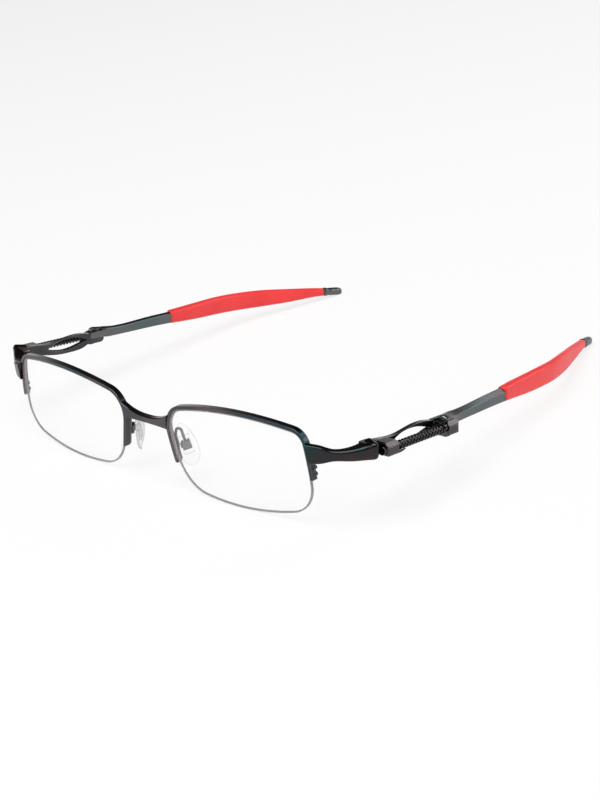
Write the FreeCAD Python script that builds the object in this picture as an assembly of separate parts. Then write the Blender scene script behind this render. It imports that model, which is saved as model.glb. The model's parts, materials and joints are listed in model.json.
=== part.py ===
import FreeCAD, Part
import math
import os

# Half-rim eyeglass frame with an exposed coil spring in each temple.
# Millimetres. +X is the wearer's left, the front faces -Y, the temples run to +Y, +Z is up.
# Everything is modelled on the wearer's left and mirrored across the X = 0 plane.
# Each named length stands alone; names that end in share or shares are fractions of a size.

Vec = FreeCAD.Vector
X_AXIS, Y_AXIS, Z_AXIS = Vec(1, 0, 0), Vec(0, 1, 0), Vec(0, 0, 1)

# Lenses: boxed size, gap between them, and how each one stands
lens_width = 50.8
lens_height = 27.0
lens_gap = 20.0
lens_thickness = 1.6
lens_base_radius = 200.0
lens_wrap_deg = 3.45
lens_tilt_deg = 3.2
lens_mid_up = 13.25
lens_back = 0.38
lens_corner_shares = {
    "nasal_top": (-1.037, 0.691), "temporal_top": (0.932, 0.856),
    "temporal_low": (0.999, -0.694), "nasal_low": (-0.85, -0.856)}
nasal_top_round = 6.7
temporal_top_round = 4.1
temporal_low_round = 8.9
nasal_low_round = 11.5
top_bow = 2.95
low_bow = 2.9
nasal_bow = 0.43
temporal_bow = 0.68

# Rim bar, the nylon strip in its channel and the cord under the lens
rim_wall = 0.9
rim_depth = 1.7
lens_seat_gap = 0.22
rim_nasal_leg = 5.2
rim_temporal_leg = 0.5
channel_width = 0.95
channel_depth = 0.2
liner_tongue = 0.4
liner_tongue_width = 0.46
edge_groove_width = 0.56
edge_groove_depth = 0.5
cord_diameter = 0.46
cord_clearance = 0.04
cord_lug_radius = 0.6
cord_lug_length = 0.45
cord_lug_spacing = 1.8
cord_lug_shares = (0.75, 1.75)

# Bridge plate
bridge_end_height = 5.2
bridge_waist_height = 2.05
bridge_thickness = 2.0
bridge_end_up = 19.5
bridge_waist_up = 18.3
bridge_end_round = 0.4
bridge_back = 0.84
bridge_stations = 15
# Station of the half-width, then the share of the rise from waist to end
bridge_shares = [(-1.0, 1.0), (-0.62, 0.32), (-0.3, 0.05), (0.0, 0.0), (0.3, 0.05), (0.62, 0.32), (1.0, 1.0)]

# Temple frame: the hinge station, and how the temple runs from it
hinge_out = 72.7
hinge_back = 15.2
hinge_up = 19.05
temple_toe_in_deg = 2.2

# Endpiece
endpiece_front_height = 5.3
endpiece_front_thickness = 1.8
endpiece_waist_height = 2.95
endpiece_rear_height = 4.7
endpiece_rear_width = 5.25
endpiece_rear_out = 1.5
endpiece_rear_up = 0.76
endpiece_rear_gap = 1.5
endpiece_front_round = 0.4
endpiece_rear_round = 1.15
endpiece_dome = 0.9
endpiece_slope = 0.15
endpiece_front_up = 20.2
endpiece_front_back = 3.2
endpiece_front_turn_deg = 24
endpiece_rear_turn_deg = 71
endpiece_sag = 0.75
endpiece_stations = 14
endpiece_dome_stations = 5
# Station, then shares of: outboard run, backward run, sag, front height, rear height, width, turn
endpiece_shares = [
    (0.0, 0.0, 0.0, 0.0, 1.0, 0.0, 0.0, 0.0), (0.25, 0.24, 0.12, 0.21, 0.8, 0.0, 0.02, 0.12),
    (0.5, 0.47, 0.34, 0.79, 0.0, 0.0, 0.12, 0.3), (0.75, 0.72, 0.64, 0.98, 0.0, 0.24, 0.45, 0.6),
    (1.0, 1.0, 1.0, 0.0, 0.0, 1.0, 1.0, 1.0)]

# Hinge: ears on the endpiece, knuckle on the sprung slider, screw and washers
hinge_axis_in = 0.5
hinge_axis_ahead = 1.75
hinge_height = 3.4
hinge_mid_up = 0.75
ear_radius = 1.3
ear_height = 0.85
washer_thickness = 0.2
washer_radius = 1.15
hinge_stack_clearance = 0.03
pin_radius = 0.5
pin_clearance = 0.04
screw_head_radius = 0.85
screw_head_height = 0.4
screw_slot_width = 0.22
screw_slot_depth = 0.2
ear_root_depth = 0.7
knuckle_clearance = 0.12
slider_arm_thickness = 0.8
slider_boss_radius = 1.15
slider_stop_gap = 0.12

# Spring, its rod and nut
spring_out = 3.65
spring_up = 0.2
spring_diameter = 2.5
wire_diameter = 0.6
spring_turns = 15
rod_radius = 0.42
rod_clearance = 0.06
rod_thread_depth = 0.5
nut_length = 1.6
nut_radius = 1.1
seat_clearance = 0.05

# Loop: the plate with the eye, the front block and the rear block
loop_thickness = 1.5
loop_front_start = 0.3
loop_length = 27.3
loop_height = 4.9
loop_mid_up = 0.3
eye_start = 6.2
eye_length = 14.8
eye_height = 3.15
eye_mid_up = 0.38
eye_chamfer = 0.25
block_outer = 5.15
block_front_start = 0.35
block_front_length = 4.4
block_front_height = 3.55
block_front_up = 0.36
block_rear_start = 23.6
block_rear_length = 4.7
block_rear_height = 3.65
block_rear_up = -0.05
block_bevel_width = 1.2
block_bevel_drop = 0.95
block_low_bevel = 0.35
block_round = 0.5
block_rear_round = 1.3
block_line_width = 0.16
block_line_depth = 0.14
saddle_reach = 2.8
saddle_crest_share = 0.45
saddle_belly_shares = (0.5, 0.04)
saddle_inner_share = 0.35
# Side view in shares: the plate's edges over its length and height, the eye's over its own
loop_top_shares = [
    (0.0, 0.44), (0.12, 0.36), (0.23, 0.3), (0.31, 0.3), (0.41, 0.365), (0.52, 0.45), (0.62, 0.485),
    (0.71, 0.455), (0.82, 0.34), (1.0, 0.28)]
loop_low_shares = [
    (1.0, -0.08), (0.91, -0.075), (0.845, -0.11), (0.79, -0.25), (0.72, -0.44), (0.64, -0.53),
    (0.53, -0.555), (0.38, -0.54), (0.26, -0.45), (0.15, -0.33), (0.0, -0.27)]
eye_top_shares = [
    (0.0, -0.15), (0.1, 0.15), (0.21, 0.33), (0.33, 0.45), (0.49, 0.5), (0.67, 0.44), (0.84, 0.24),
    (1.0, -0.04)]
eye_low_shares = [(1.0, -0.04), (0.83, -0.2), (0.67, -0.36), (0.44, -0.5), (0.21, -0.4), (0.0, -0.15)]
pocket_clearance = 0.12
pocket_wall = 1.2

# Spar, its core in the ear sock, the sock and the tip
foot_start = 25.2
foot_round = 0.9
foot_dome_stations = 3
spar_step = 0.45
spar_round = 0.3
spar_ridge_share = -0.12
spar_inner_drop_share = 0.16
spar_outer_drop_share = 0.32
tongue_reach = 4.4
tongue_height = 1.8
tongue_thickness = 1.0
tongue_up = 1.15
sock_start = 53.5
sock_length = 56.0
sock_height = 5.7
sock_thickness = 3.0
sock_round = 1.1
sock_bow_in = 14.8
core_thickness = 1.3
core_height = 1.7
core_round = 0.32
core_in_tip = 1.5
tip_length = 6.5
tip_dome = 1.9
tip_bluntness_share = 0.5
tip_corner_share = 0.42
spar_stations = 22
sock_stations = 14
core_stations = 14
tip_stations = 5
tip_dome_stations = 9
# Shares: station of the temple's reach; inward bow; rise and height of the sock's height; thickness
temple_shares = [
    (0.184, -0.189, 0.43, 0.272, 0.883), (0.203, -0.182, 0.412, 0.412, 1.05),
    (0.224, -0.149, 0.307, 0.535, 1.2), (0.246, -0.081, 0.228, 0.658, 1.15),
    (0.271, -0.047, 0.193, 0.623, 1.017), (0.31, -0.024, 0.193, 0.614, 0.983),
    (0.34, -0.01, 0.211, 0.64, 0.98), (0.396, 0.016, 0.246, 0.684, 0.973),
    (0.461, 0.053, 0.258, 0.73, 0.997), (0.508, 0.083, 0.271, 0.824, 0.99),
    (0.56, 0.102, 0.288, 0.917, 0.965), (0.62, 0.133, 0.324, 0.985, 0.91),
    (0.68, 0.204, 0.337, 1, 0.851), (0.758, 0.383, 0.339, 0.967, 0.805),
    (0.835, 0.619, 0.316, 0.8, 0.784), (0.91, 0.843, 0.312, 0.54, 0.79),
    (0.945, 0.945, 0.281, 0.45, 0.785), (1, 1.07, 0.194, 0.45, 0.76)]
spar_screw_radius = 0.4
spar_screw_length = 1.6
spar_screw_head_radius = 0.62
spar_screw_head_height = 0.2

# Nose pads
pad_length = 12.6
pad_width = 7.0
pad_thickness = 2.0
pad_crown_radius = 11.0
pad_out = 9.9
pad_back = 5.0
pad_up = 10.9
pad_turn_deg = 38.0
pad_splay_deg = 14.0
pad_rake_deg = 6.5
pad_rock_deg = 8.0
pad_core_length = 5.4
pad_core_width = 3.0
pad_core_thickness = 0.6
pad_core_sink = 0.45
pad_lug_thickness = 0.9
pad_lug_height = 1.7
pad_lug_reach = 1.2
pad_box_width = 2.5
pad_box_height = 2.5
pad_box_depth = 1.4
pad_box_wall = 0.5
pad_box_round = 0.16
pad_box_gap = 0.7
pad_box_lift = 0.7
pad_box_clearance = 0.1
pad_screw_radius = 0.4
pad_screw_head_radius = 0.75
pad_screw_head_height = 0.35
pad_wire_diameter = 0.8
pad_wire_seat = 3.2
pad_wire_drop = 1.5
pad_wire_arch = 2.2
pad_wire_swing = 1.1
pad_bend_share = 0.45
pad_top_share = 0.62
# Shares along the wire's run, of its nasal swing and of its rise to the arch
pad_wire_shares = [(0.15, 0.1, 0.25), (0.3, 1.0, 0.65), (0.5, 0.7, 1.0), (0.85, -0.1, 0.98)]

# One overrun serves every cut; the steps are those of measuring meshes and of a measured outline
overrun = 1.0
mesh_step = 0.02
outline_step = 0.25


def moved(shape, placement):
    """A copy of a shape, carried from a local frame into the frame of the part."""
    copy = shape.copy()
    copy.transformShape(placement.toMatrix())
    return copy


def block(low, high):
    """A box between two corners."""
    size = high.sub(low)
    return Part.makeBox(size.x, size.y, size.z, low)


def rod(radius, length, base, axis):
    """A round bar."""
    return Part.makeCylinder(radius, length, base, axis)


def smooth_edge(points):
    """One smooth curve through the points."""
    curve = Part.BSplineCurve()
    curve.interpolate(points)
    return curve.toShape()


def rounded_corners(corners, radius):
    """A closed wire of straight sides and equal round corners through points of one plane."""
    count = len(corners)
    edges, arcs = [], []
    for i in range(count):
        before, here, after = corners[i - 1], corners[i], corners[(i + 1) % count]
        back = before.sub(here).normalize()
        ahead = after.sub(here).normalize()
        half = back.getAngle(ahead) / 2
        setback = radius / math.tan(half)
        centre = here.add(back.add(ahead).normalize().multiply(radius / math.sin(half)))
        middle = centre.add(here.sub(centre).normalize().multiply(radius))
        arcs.append((here.add(back.multiply(setback)), middle, here.add(ahead.multiply(setback))))
    for i in range(count):
        edges.append(Part.Arc(*arcs[i]).toShape())
        edges.append(Part.makeLine(arcs[i][2], arcs[(i + 1) % count][0]))
    return Part.Wire(edges)


def bar_section(centre, across, up, width, height, radius, slope=0.0):
    """A rounded bar's cross-section; slope lowers the corner on the side that across points to."""
    a, u = Vec(across).multiply(width / 2), Vec(up).multiply(height / 2)
    drop = Vec(up).multiply(slope)
    low_edge = [centre.sub(a).sub(u), centre.add(a).sub(u)]
    return rounded_corners(low_edge + [centre.add(a).add(u).sub(drop), centre.sub(a).add(u)], radius)


def ridged_section(centre, across, up, width, height, radius):
    """The spar's cross-section: flat below, with a ridge on top that falls to both sides."""
    a, u = Vec(across).multiply(width / 2), Vec(up).multiply(height / 2)
    ridge = centre.add(u).add(Vec(across).multiply(width * spar_ridge_share))
    outer = centre.add(a).add(u).sub(Vec(up).multiply(height * spar_outer_drop_share))
    inner = centre.sub(a).add(u).sub(Vec(up).multiply(height * spar_inner_drop_share))
    return rounded_corners([centre.sub(a).sub(u), centre.add(a).sub(u), outer, ridge, inner], radius)


def loft(sections, ruled=False):
    return Part.makeLoft(sections, True, ruled)


def value_at(rows, station):
    """The row at a station, on smooth curves through rows whose first column is the station."""
    i = max([0] + [j for j in range(len(rows) - 1) if rows[j][0] <= station])
    before, one, two, after = rows[max(i - 1, 0)], rows[i], rows[i + 1], rows[min(i + 2, len(rows) - 1)]
    width = two[0] - one[0]
    t = (station - one[0]) / width
    row = [station]
    for c in range(1, len(one)):
        m1 = (two[c] - before[c]) / (two[0] - before[0]) * width
        m2 = (after[c] - one[c]) / (after[0] - one[0]) * width
        row.append((2 * t ** 3 - 3 * t ** 2 + 1) * one[c] + (t ** 3 - 2 * t ** 2 + t) * m1
                   + (3 * t ** 2 - 2 * t ** 3) * two[c] + (t ** 3 - t ** 2) * m2)
    return row


def spread(rows, count):
    """Evenly spaced rows from the first station to the last."""
    first, last = rows[0][0], rows[-1][0]
    return [value_at(rows, first + (last - first) * k / (count - 1)) for k in range(count)]


def prism(wire, direction):
    return Part.Face(wire).extrude(direction)


def bent_wire(points, bend_shares, diameter):
    """A round wire of straight runs joined by tangent arcs."""
    edges, start = [], points[0]
    for i in range(1, len(points) - 1):
        back = points[i - 1].sub(points[i])
        ahead = points[i + 1].sub(points[i])
        setback = bend_shares[i - 1] * min(back.Length, ahead.Length)
        back.normalize()
        ahead.normalize()
        half = back.getAngle(ahead) / 2
        radius = setback * math.tan(half)
        centre = points[i].add(back.add(ahead).normalize().multiply(radius / math.sin(half)))
        middle = centre.add(points[i].sub(centre).normalize().multiply(radius))
        first, last = points[i].add(back.multiply(setback)), points[i].add(ahead.multiply(setback))
        edges += [Part.makeLine(start, first), Part.Arc(first, middle, last).toShape()]
        start = last
    edges.append(Part.makeLine(start, points[-1]))
    spine = Part.Wire(edges)
    ring = Part.Wire(Part.makeCircle(diameter / 2, points[0], points[1].sub(points[0])))
    return spine.makePipeShell([ring], True, False)


# Frames: the lens frame has x outboard, y up and z forwards; the temple frame has x outboard, y back, z up

def lens_frame():
    half = lens_width / 2 * math.cos(math.radians(lens_wrap_deg))
    turn = FreeCAD.Rotation(Z_AXIS, lens_wrap_deg).multiply(FreeCAD.Rotation(X_AXIS, 90 - lens_tilt_deg))
    return FreeCAD.Placement(Vec(lens_gap / 2 + half, lens_back, lens_mid_up), turn)


def temple_reach():
    return sock_start + sock_length + tip_length


def temple_fall_deg(floor):
    """How far the temple runs downhill, so that the underside of its tip comes down to the floor."""
    back = temple_reach() - tip_dome
    middle, height = temple_row(back)[1:3]
    up = middle - height / 2
    return math.degrees(math.asin((hinge_up - floor) / math.hypot(back, up)) + math.atan2(up, back))


def temple_frame(floor):
    fall = FreeCAD.Rotation(X_AXIS, -temple_fall_deg(floor))
    toe = FreeCAD.Rotation(Z_AXIS, temple_toe_in_deg)
    return FreeCAD.Placement(Vec(hinge_out, hinge_back, hinge_up), toe.multiply(fall))


def pad_frame():
    """x is the pad's width, y runs down it, z points at the nose."""
    turn, rake, splay = (math.radians(d) for d in (pad_turn_deg, pad_rake_deg, pad_splay_deg))
    facing = Vec(-math.cos(turn) * math.cos(rake), math.sin(turn) * math.cos(rake), -math.sin(rake))
    down = Vec(math.sin(splay), 0, -math.cos(splay))
    down = down.sub(Vec(facing).multiply(down.dot(facing))).normalize()
    rotation = FreeCAD.Rotation(down.cross(facing), down, facing, "ZYX")
    return FreeCAD.Placement(Vec(pad_out, pad_back, pad_up), rotation)


LENS = lens_frame()
PAD = pad_frame()


# Lens, rim, strip and cord, in the lens frame

def side_circles():
    """Centre and radius of the four bowed sides, in order round the lens."""
    half_w, half_h = lens_width / 2, lens_height / 2
    at = {k: Vec(u * half_w, v * half_h, 0) for k, (u, v) in lens_corner_shares.items()}
    order = ["nasal_low", "temporal_low", "temporal_top", "nasal_top"]
    bows = [low_bow, temporal_bow, top_bow, nasal_bow]
    circles = []
    for i, bow in enumerate(bows):
        start, end = at[order[i]], at[order[(i + 1) % 4]]
        chord = end.sub(start)
        radius = (chord.Length ** 2 / 4 + bow ** 2) / (2 * bow)
        outwards = Vec(chord.y, -chord.x, 0).normalize()
        middle = start.add(end).multiply(0.5)
        circles.append((middle.sub(outwards.multiply(radius - bow)), radius, start, middle))
    return circles


def round_centre(one, two, radius, corner):
    """Centre of the round that touches two side circles from inside, near a corner."""
    (c1, r1), (c2, r2) = one, two
    a, b = r1 - radius, r2 - radius
    apart = c2.sub(c1)
    d = apart.Length
    along = (d * d + a * a - b * b) / (2 * d)
    off = math.sqrt(a * a - along * along)
    apart.normalize()
    foot = c1.add(Vec(apart).multiply(along))
    side = Vec(-apart.y, apart.x, 0).multiply(off)
    return min(foot.add(side), foot.sub(side), key=lambda p: p.sub(corner).Length)


def outline(offset=0.0):
    """The lens outline, or a curve parallel to it: four bowed sides and four round corners."""
    circles = side_circles()
    radii = [nasal_low_round, temporal_low_round, temporal_top_round, nasal_top_round]
    rounds = [round_centre(circles[i - 1][:2], circles[i][:2], radii[i], circles[i][2]) for i in range(4)]

    def touch(centre, radius, spot):
        return centre.add(spot.sub(centre).normalize().multiply(radius + offset))

    edges = []
    for i, (centre, radius, start, middle) in enumerate(circles):
        last = (i + 1) % 4
        first = touch(centre, radius, rounds[i])
        end = touch(centre, radius, rounds[last])
        edges.append(Part.Arc(first, touch(centre, radius, middle.add(middle.sub(centre))), end).toShape())
        after = touch(circles[last][0], circles[last][1], rounds[last])
        half_way = rounds[last].add(end.sub(rounds[last]).add(after.sub(rounds[last])))
        edges.append(Part.Arc(end, touch(rounds[last], radii[last], half_way), after).toShape())
    return Part.Wire(edges)


def shell_slice(thickness):
    """The space between two concentric spheres, whose middle surface is the lens's."""
    centre = Vec(0, 0, -lens_base_radius)
    outer = Part.makeSphere(lens_base_radius + thickness / 2, centre)
    return outer.cut(Part.makeSphere(lens_base_radius - thickness / 2, centre))


def ring_band(inner_offset, outer_offset, width):
    """A band round the lens outline between two offsets of it, which follows the lens's curve."""
    reach = lens_width / 4
    rise = Vec(0, 0, 2 * reach)
    ring = prism(outline(outer_offset), rise).cut(prism(outline(inner_offset), rise))
    ring.translate(Vec(0, 0, -reach))
    return ring.common(shell_slice(width))


def lens_solid():
    reach = lens_width / 4
    disc = prism(outline(), Vec(0, 0, 2 * reach))
    disc.translate(Vec(0, 0, -reach))
    disc = disc.common(shell_slice(lens_thickness))
    return disc.cut(ring_band(-edge_groove_depth, overrun, edge_groove_width))


def leg_cut(trim=0.0):
    """The region below the rim's two ends, where the lens hangs on its cord."""
    reach = lens_width
    nasal, temporal = -rim_nasal_leg - trim, -rim_temporal_leg - trim
    corners = [Vec(-reach, nasal, -reach), Vec(0, nasal, -reach), Vec(0, temporal, -reach),
               Vec(reach, temporal, -reach), Vec(reach, -reach, -reach), Vec(-reach, -reach, -reach)]
    return prism(Part.makePolygon(corners + corners[:1]), Vec(0, 0, 2 * reach))


def rim_solid():
    """The channelled bar over the lens, with the two lugs that hold the cord's temporal end."""
    bar = ring_band(lens_seat_gap, lens_seat_gap + rim_wall, rim_depth)
    channel = ring_band(lens_seat_gap - overrun, lens_seat_gap + channel_depth, channel_width)
    back = surface_point(1, -rim_temporal_leg)
    lugs = []
    for share in cord_lug_shares:
        base = Vec(back.x + lens_seat_gap + rim_wall / 2, back.y + share * cord_lug_spacing, back.z)
        lugs.append(rod(cord_lug_radius, rim_depth / 2 + cord_lug_length, base, Z_AXIS.negative()))
    keep_out = prism(outline(lens_seat_gap), Vec(0, 0, 2 * lens_width))
    keep_out.translate(Vec(0, 0, -lens_width))
    lugs = [lug.cut(keep_out) for lug in lugs]
    return bar.cut(leg_cut()).fuse(lugs).cut(channel).removeSplitter()


def surface_point(side, height):
    """The point of the lens outline at a height, on the nasal (-1) or temporal (+1) side."""
    line = Part.makeLine(Vec(0, height, 0), Vec(side * lens_width, height, 0))
    spot = outline().distToShape(line)[1][0][0]
    drop = (spot.x ** 2 + spot.y ** 2) / (2 * lens_base_radius)
    return Vec(spot.x, spot.y, -drop)


def lens_floor():
    """The level of the lens's lowest point, which the part stands on."""
    rim = moved(outline(), LENS)
    return min(p.z for p in rim.discretize(Distance=outline_step))


def liner_solid():
    strip = ring_band(0, lens_seat_gap + channel_depth, channel_width)
    tongue = ring_band(-liner_tongue, 0, liner_tongue_width)
    return strip.fuse(tongue).cut(leg_cut()).removeSplitter()


def cord_solid():
    """Nylon cord in the lens's edge groove, from one rim end to the other."""
    inset = cord_diameter / 2 + cord_clearance
    band = ring_band(-inset - cord_diameter / 2, -inset + cord_diameter / 2, cord_diameter)
    return band.common(leg_cut(seat_clearance))


# Bridge

def rim_block():
    """The whole outline of the rim, filled, which trims what is soldered to its outside."""
    fill = prism(outline(lens_seat_gap + rim_wall), Vec(0, 0, 2 * lens_width))
    fill.translate(Vec(0, 0, -lens_width))
    return moved(fill, LENS)


def bridge_solid():
    """A waisted plate, tall where it is soldered to the rims."""
    half = lens_gap / 2 + rim_wall
    sections = []
    for share, rise in spread(bridge_shares, bridge_stations):
        height = bridge_waist_height + (bridge_end_height - bridge_waist_height) * rise
        up = bridge_waist_up + (bridge_end_up - bridge_waist_up) * rise
        sections.append(bar_section(
            Vec(share * half, bridge_back, up), Y_AXIS, Z_AXIS, bridge_thickness, height, bridge_end_round))
    plate = loft(sections)
    left = rim_block()
    plate = plate.cut(left).cut(left.mirror(Vec(0, 0, 0), X_AXIS))
    return max(plate.Solids, key=lambda part: part.Volume)


# Endpiece, in the frame of the part

def endpiece_section(centre, angle, lean, width, height, wide):
    side = Vec(math.sin(angle), -math.cos(angle), 0)
    up = Vec(math.cos(angle) * math.sin(lean), math.sin(angle) * math.sin(lean), math.cos(lean))
    radius = endpiece_front_round + (endpiece_rear_round - endpiece_front_round) * math.sqrt(wide)
    return bar_section(centre, side, up, width, height, radius, endpiece_slope * wide)


def endpiece_solid(temple):
    """A bar that leaves the rim's corner as a flat plate, narrows, and swells round to a domed end."""
    corner = LENS.multVec(Vec(lens_width / 2, 0, 0))
    start = Vec(corner.x, endpiece_front_back, endpiece_front_up)
    rear = temple.multVec(Vec(endpiece_rear_out, -endpiece_rear_gap - endpiece_dome, endpiece_rear_up))
    run = rear.sub(start)
    fall = math.radians(temple_fall_deg(lens_floor()))
    sections = []
    turned = endpiece_rear_turn_deg - endpiece_front_turn_deg
    for s, out, back, sag, tall, swell, wide, turn in spread(endpiece_shares, endpiece_stations):
        up = start.z + run.z * s - endpiece_sag * sag
        centre = Vec(start.x + run.x * out, start.y + run.y * back, up)
        angle = math.radians(endpiece_front_turn_deg + turned * turn)
        height = (endpiece_waist_height + (endpiece_front_height - endpiece_waist_height) * tall
                  + (endpiece_rear_height - endpiece_waist_height) * swell)
        width = endpiece_front_thickness + (endpiece_rear_width - endpiece_front_thickness) * wide
        sections.append(endpiece_section(centre, angle, fall * s, width, height, max(wide, 0)))
    ahead = Vec(math.cos(angle), math.sin(angle), -math.sin(fall)).normalize()
    for k in range(1, endpiece_dome_stations + 1):
        bend = math.pi / 2 * k / (endpiece_dome_stations + 1)
        shrink = 2 * endpiece_dome * (1 - math.cos(bend))
        spot = centre.add(Vec(ahead).multiply(endpiece_dome * math.sin(bend)))
        sections.append(endpiece_section(spot, angle, fall, width - shrink, height - shrink, math.cos(bend)))
    body = loft(sections).cut(rim_block())
    body = max(body.Solids, key=lambda part: part.Volume)
    body = body.cut(moved(ear_pocket(), temple))
    return max(body.Solids, key=lambda part: part.Volume)


# Hinge, in the temple frame

def ear_pocket():
    """The room for the ears and the knuckle, open below and to the rear, under the endpiece's own roof."""
    low = Vec(-hinge_axis_in - ear_radius - overrun, -hinge_axis_ahead - ear_radius - ear_root_depth,
              hinge_mid_up - hinge_height / 2 - endpiece_rear_height)
    high = Vec(-hinge_axis_in + ear_radius, -hinge_axis_ahead, hinge_mid_up + hinge_height / 2)
    pocket = block(low, high)
    swing = rod(ear_radius + knuckle_clearance, high.z - low.z, pin_spot(low.z), Z_AXIS)
    reach = lens_width
    arm_front = slider_rear() - slider_arm_thickness - knuckle_clearance
    behind = block(Vec(-reach, arm_front, -reach), Vec(reach, reach, reach))
    return pocket.fuse([swing, behind])


def hinge_levels():
    """Heights of the stack: lower ear, washer, knuckle, washer, upper ear."""
    low = hinge_mid_up - hinge_height / 2
    return {
        "floor": low,
        "ear_top": low + ear_height,
        "knuckle_low": low + ear_height + washer_thickness + 2 * hinge_stack_clearance,
        "knuckle_top": low + hinge_height - ear_height - washer_thickness - 2 * hinge_stack_clearance,
        "ear_low": low + hinge_height - ear_height,
        "roof": low + hinge_height}


def pin_spot(level):
    return Vec(-hinge_axis_in, -hinge_axis_ahead, level)


def hinge_ears_solid():
    z = hinge_levels()
    root_end = -hinge_axis_ahead - ear_radius - ear_root_depth
    ears = []
    for low, high in ((z["floor"], z["ear_top"]), (z["ear_low"], z["roof"])):
        ear = rod(ear_radius, high - low, pin_spot(low), Z_AXIS)
        web = block(Vec(-hinge_axis_in - ear_radius, root_end, low),
                    Vec(-hinge_axis_in + ear_radius, -hinge_axis_ahead, high))
        ears.append(ear.fuse(web))
    root_face = -hinge_axis_ahead - ear_radius - knuckle_clearance
    root = block(Vec(-hinge_axis_in - ear_radius, root_end, z["floor"]),
                 Vec(-hinge_axis_in + ear_radius, root_face, z["roof"]))
    body = root.fuse(ears)
    bore = rod(pin_radius, hinge_height + 2 * overrun, pin_spot(z["floor"] - overrun), Z_AXIS)
    sink = rod(screw_head_radius, screw_head_height + overrun, pin_spot(z["floor"] - overrun), Z_AXIS)
    return body.cut(bore).cut(sink).removeSplitter()


def hinge_screw_solid():
    """Screwed in from below, where the endpiece leaves the ears open."""
    z = hinge_levels()
    base = pin_spot(z["floor"] + screw_head_height)
    shank = rod(pin_radius, hinge_height - screw_head_height, base, Z_AXIS)
    head = rod(screw_head_radius, screw_head_height, pin_spot(z["floor"]), Z_AXIS)
    half_slot = Vec(screw_head_radius, screw_slot_width / 2, 0)
    slot = block(pin_spot(z["floor"] - overrun).sub(half_slot),
                 pin_spot(z["floor"] + screw_slot_depth).add(half_slot))
    return shank.fuse(head).cut(slot).removeSplitter()


def washers_solid():
    z = hinge_levels()
    rings = []
    for low in (z["ear_top"] + hinge_stack_clearance, z["knuckle_top"] + hinge_stack_clearance):
        ring = rod(washer_radius, washer_thickness, pin_spot(low), Z_AXIS)
        rings.append(ring.cut(rod(pin_radius + pin_clearance, washer_thickness + 2 * overrun,
                                  pin_spot(low - overrun), Z_AXIS)))
    return Part.makeCompound(rings)


def slider_solid():
    """The knuckle, with the arm that reaches out to the rod."""
    z = hinge_levels()
    height = z["knuckle_top"] - z["knuckle_low"]
    knuckle = rod(ear_radius, height, pin_spot(z["knuckle_low"]), Z_AXIS)
    rear = slider_rear()
    arm = block(Vec(-hinge_axis_in, rear - slider_arm_thickness, z["knuckle_low"]),
                Vec(spring_out, rear, z["knuckle_low"] + height))
    boss_base = Vec(spring_out, rear - slider_arm_thickness, spring_up)
    boss = rod(slider_boss_radius, slider_arm_thickness, boss_base, Y_AXIS)
    body = knuckle.fuse([arm, boss])
    body = body.cut(rod(pin_radius + pin_clearance, hinge_height + 2 * overrun,
                        pin_spot(z["floor"] - overrun), Z_AXIS))
    thread_base = Vec(spring_out, rear - rod_thread_depth, spring_up)
    thread = rod(rod_radius, rod_thread_depth + overrun, thread_base, Y_AXIS)
    return body.cut(thread).removeSplitter()


def slider_rear():
    return -block_front_start - slider_stop_gap


# Spring group, in the temple frame

def spring_span():
    front = block_front_length - block_front_start
    rear = block_rear_start - seat_clearance - nut_length / 2
    return front, rear


def biarc(p0, t0, p1, t1):
    """Two arcs that leave p0 along t0, meet smoothly and reach p1 along t1."""
    chord, t = p1.sub(p0), t0.add(t1)
    k = 2 * (1 - t0.dot(t1))
    d = (-chord.dot(t) + math.sqrt(chord.dot(t) ** 2 + k * chord.dot(chord))) / k
    joint = p0.add(p1).add(t0.sub(t1).multiply(d)).multiply(0.5)
    return [tangent_arc(p0, t0, joint), tangent_arc(p1, t1.negative(), joint)]


def tangent_arc(start, tangent, end):
    chord = end.sub(start)
    along = Vec(chord).normalize()
    side = tangent.sub(Vec(along).multiply(tangent.dot(along)))
    turn = math.acos(max(-1, min(1, tangent.dot(along))))
    side.normalize()
    middle = start.add(chord.multiply(0.5)).add(side.multiply(chord.Length * math.tan(turn / 2)))
    return start, middle, end


def helix(radius, pitch, turns, base):
    """Points and tangents of the coil's middle line at each quarter turn, about the Y axis."""
    spots = []
    slope = pitch / (2 * math.pi * radius)
    for q in range(4 * turns + 1):
        a = q * math.pi / 2
        point = base.add(Vec(radius * math.cos(a), pitch * q / 4, radius * math.sin(a)))
        tangent = Vec(-math.sin(a), slope, math.cos(a)).normalize()
        spots.append((point, tangent))
    return spots


def coil_solid():
    front, rear = spring_span()
    radius = (spring_diameter - wire_diameter) / 2
    start = front + seat_clearance + wire_diameter / 2
    pitch = (rear - seat_clearance - wire_diameter / 2 - start) / spring_turns
    spots = helix(radius, pitch, spring_turns, Vec(spring_out, start, spring_up))
    edges = []
    for (p0, t0), (p1, t1) in zip(spots, spots[1:]):
        first, second = biarc(p0, t0, p1, t1)
        edges.append(Part.Arc(*first).toShape())
        edges.append(Part.Arc(second[2], second[1], second[0]).toShape())
    spine = Part.Wire(edges)
    ring = Part.Wire(Part.makeCircle(wire_diameter / 2, spots[0][0], spots[0][1]))
    coil = spine.makePipeShell([ring], True, False)
    steps = 48
    line = [Vec(radius * math.cos(2 * math.pi * k / steps), pitch * k / steps,
                radius * math.sin(2 * math.pi * k / steps)) for k in range(3 * steps)]
    gap = min(line[0].sub(p).Length for p in line[steps // 2:]) - wire_diameter
    print("coil: pitch %.3f, least gap to itself %.3f, inner radius %.3f" % (
        pitch, gap, radius - wire_diameter / 2))
    return coil


def rod_solid():
    start = slider_rear() - rod_thread_depth
    end = spring_span()[1] + nut_length
    return rod(rod_radius, end - start, Vec(spring_out, start, spring_up), Y_AXIS)


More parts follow.
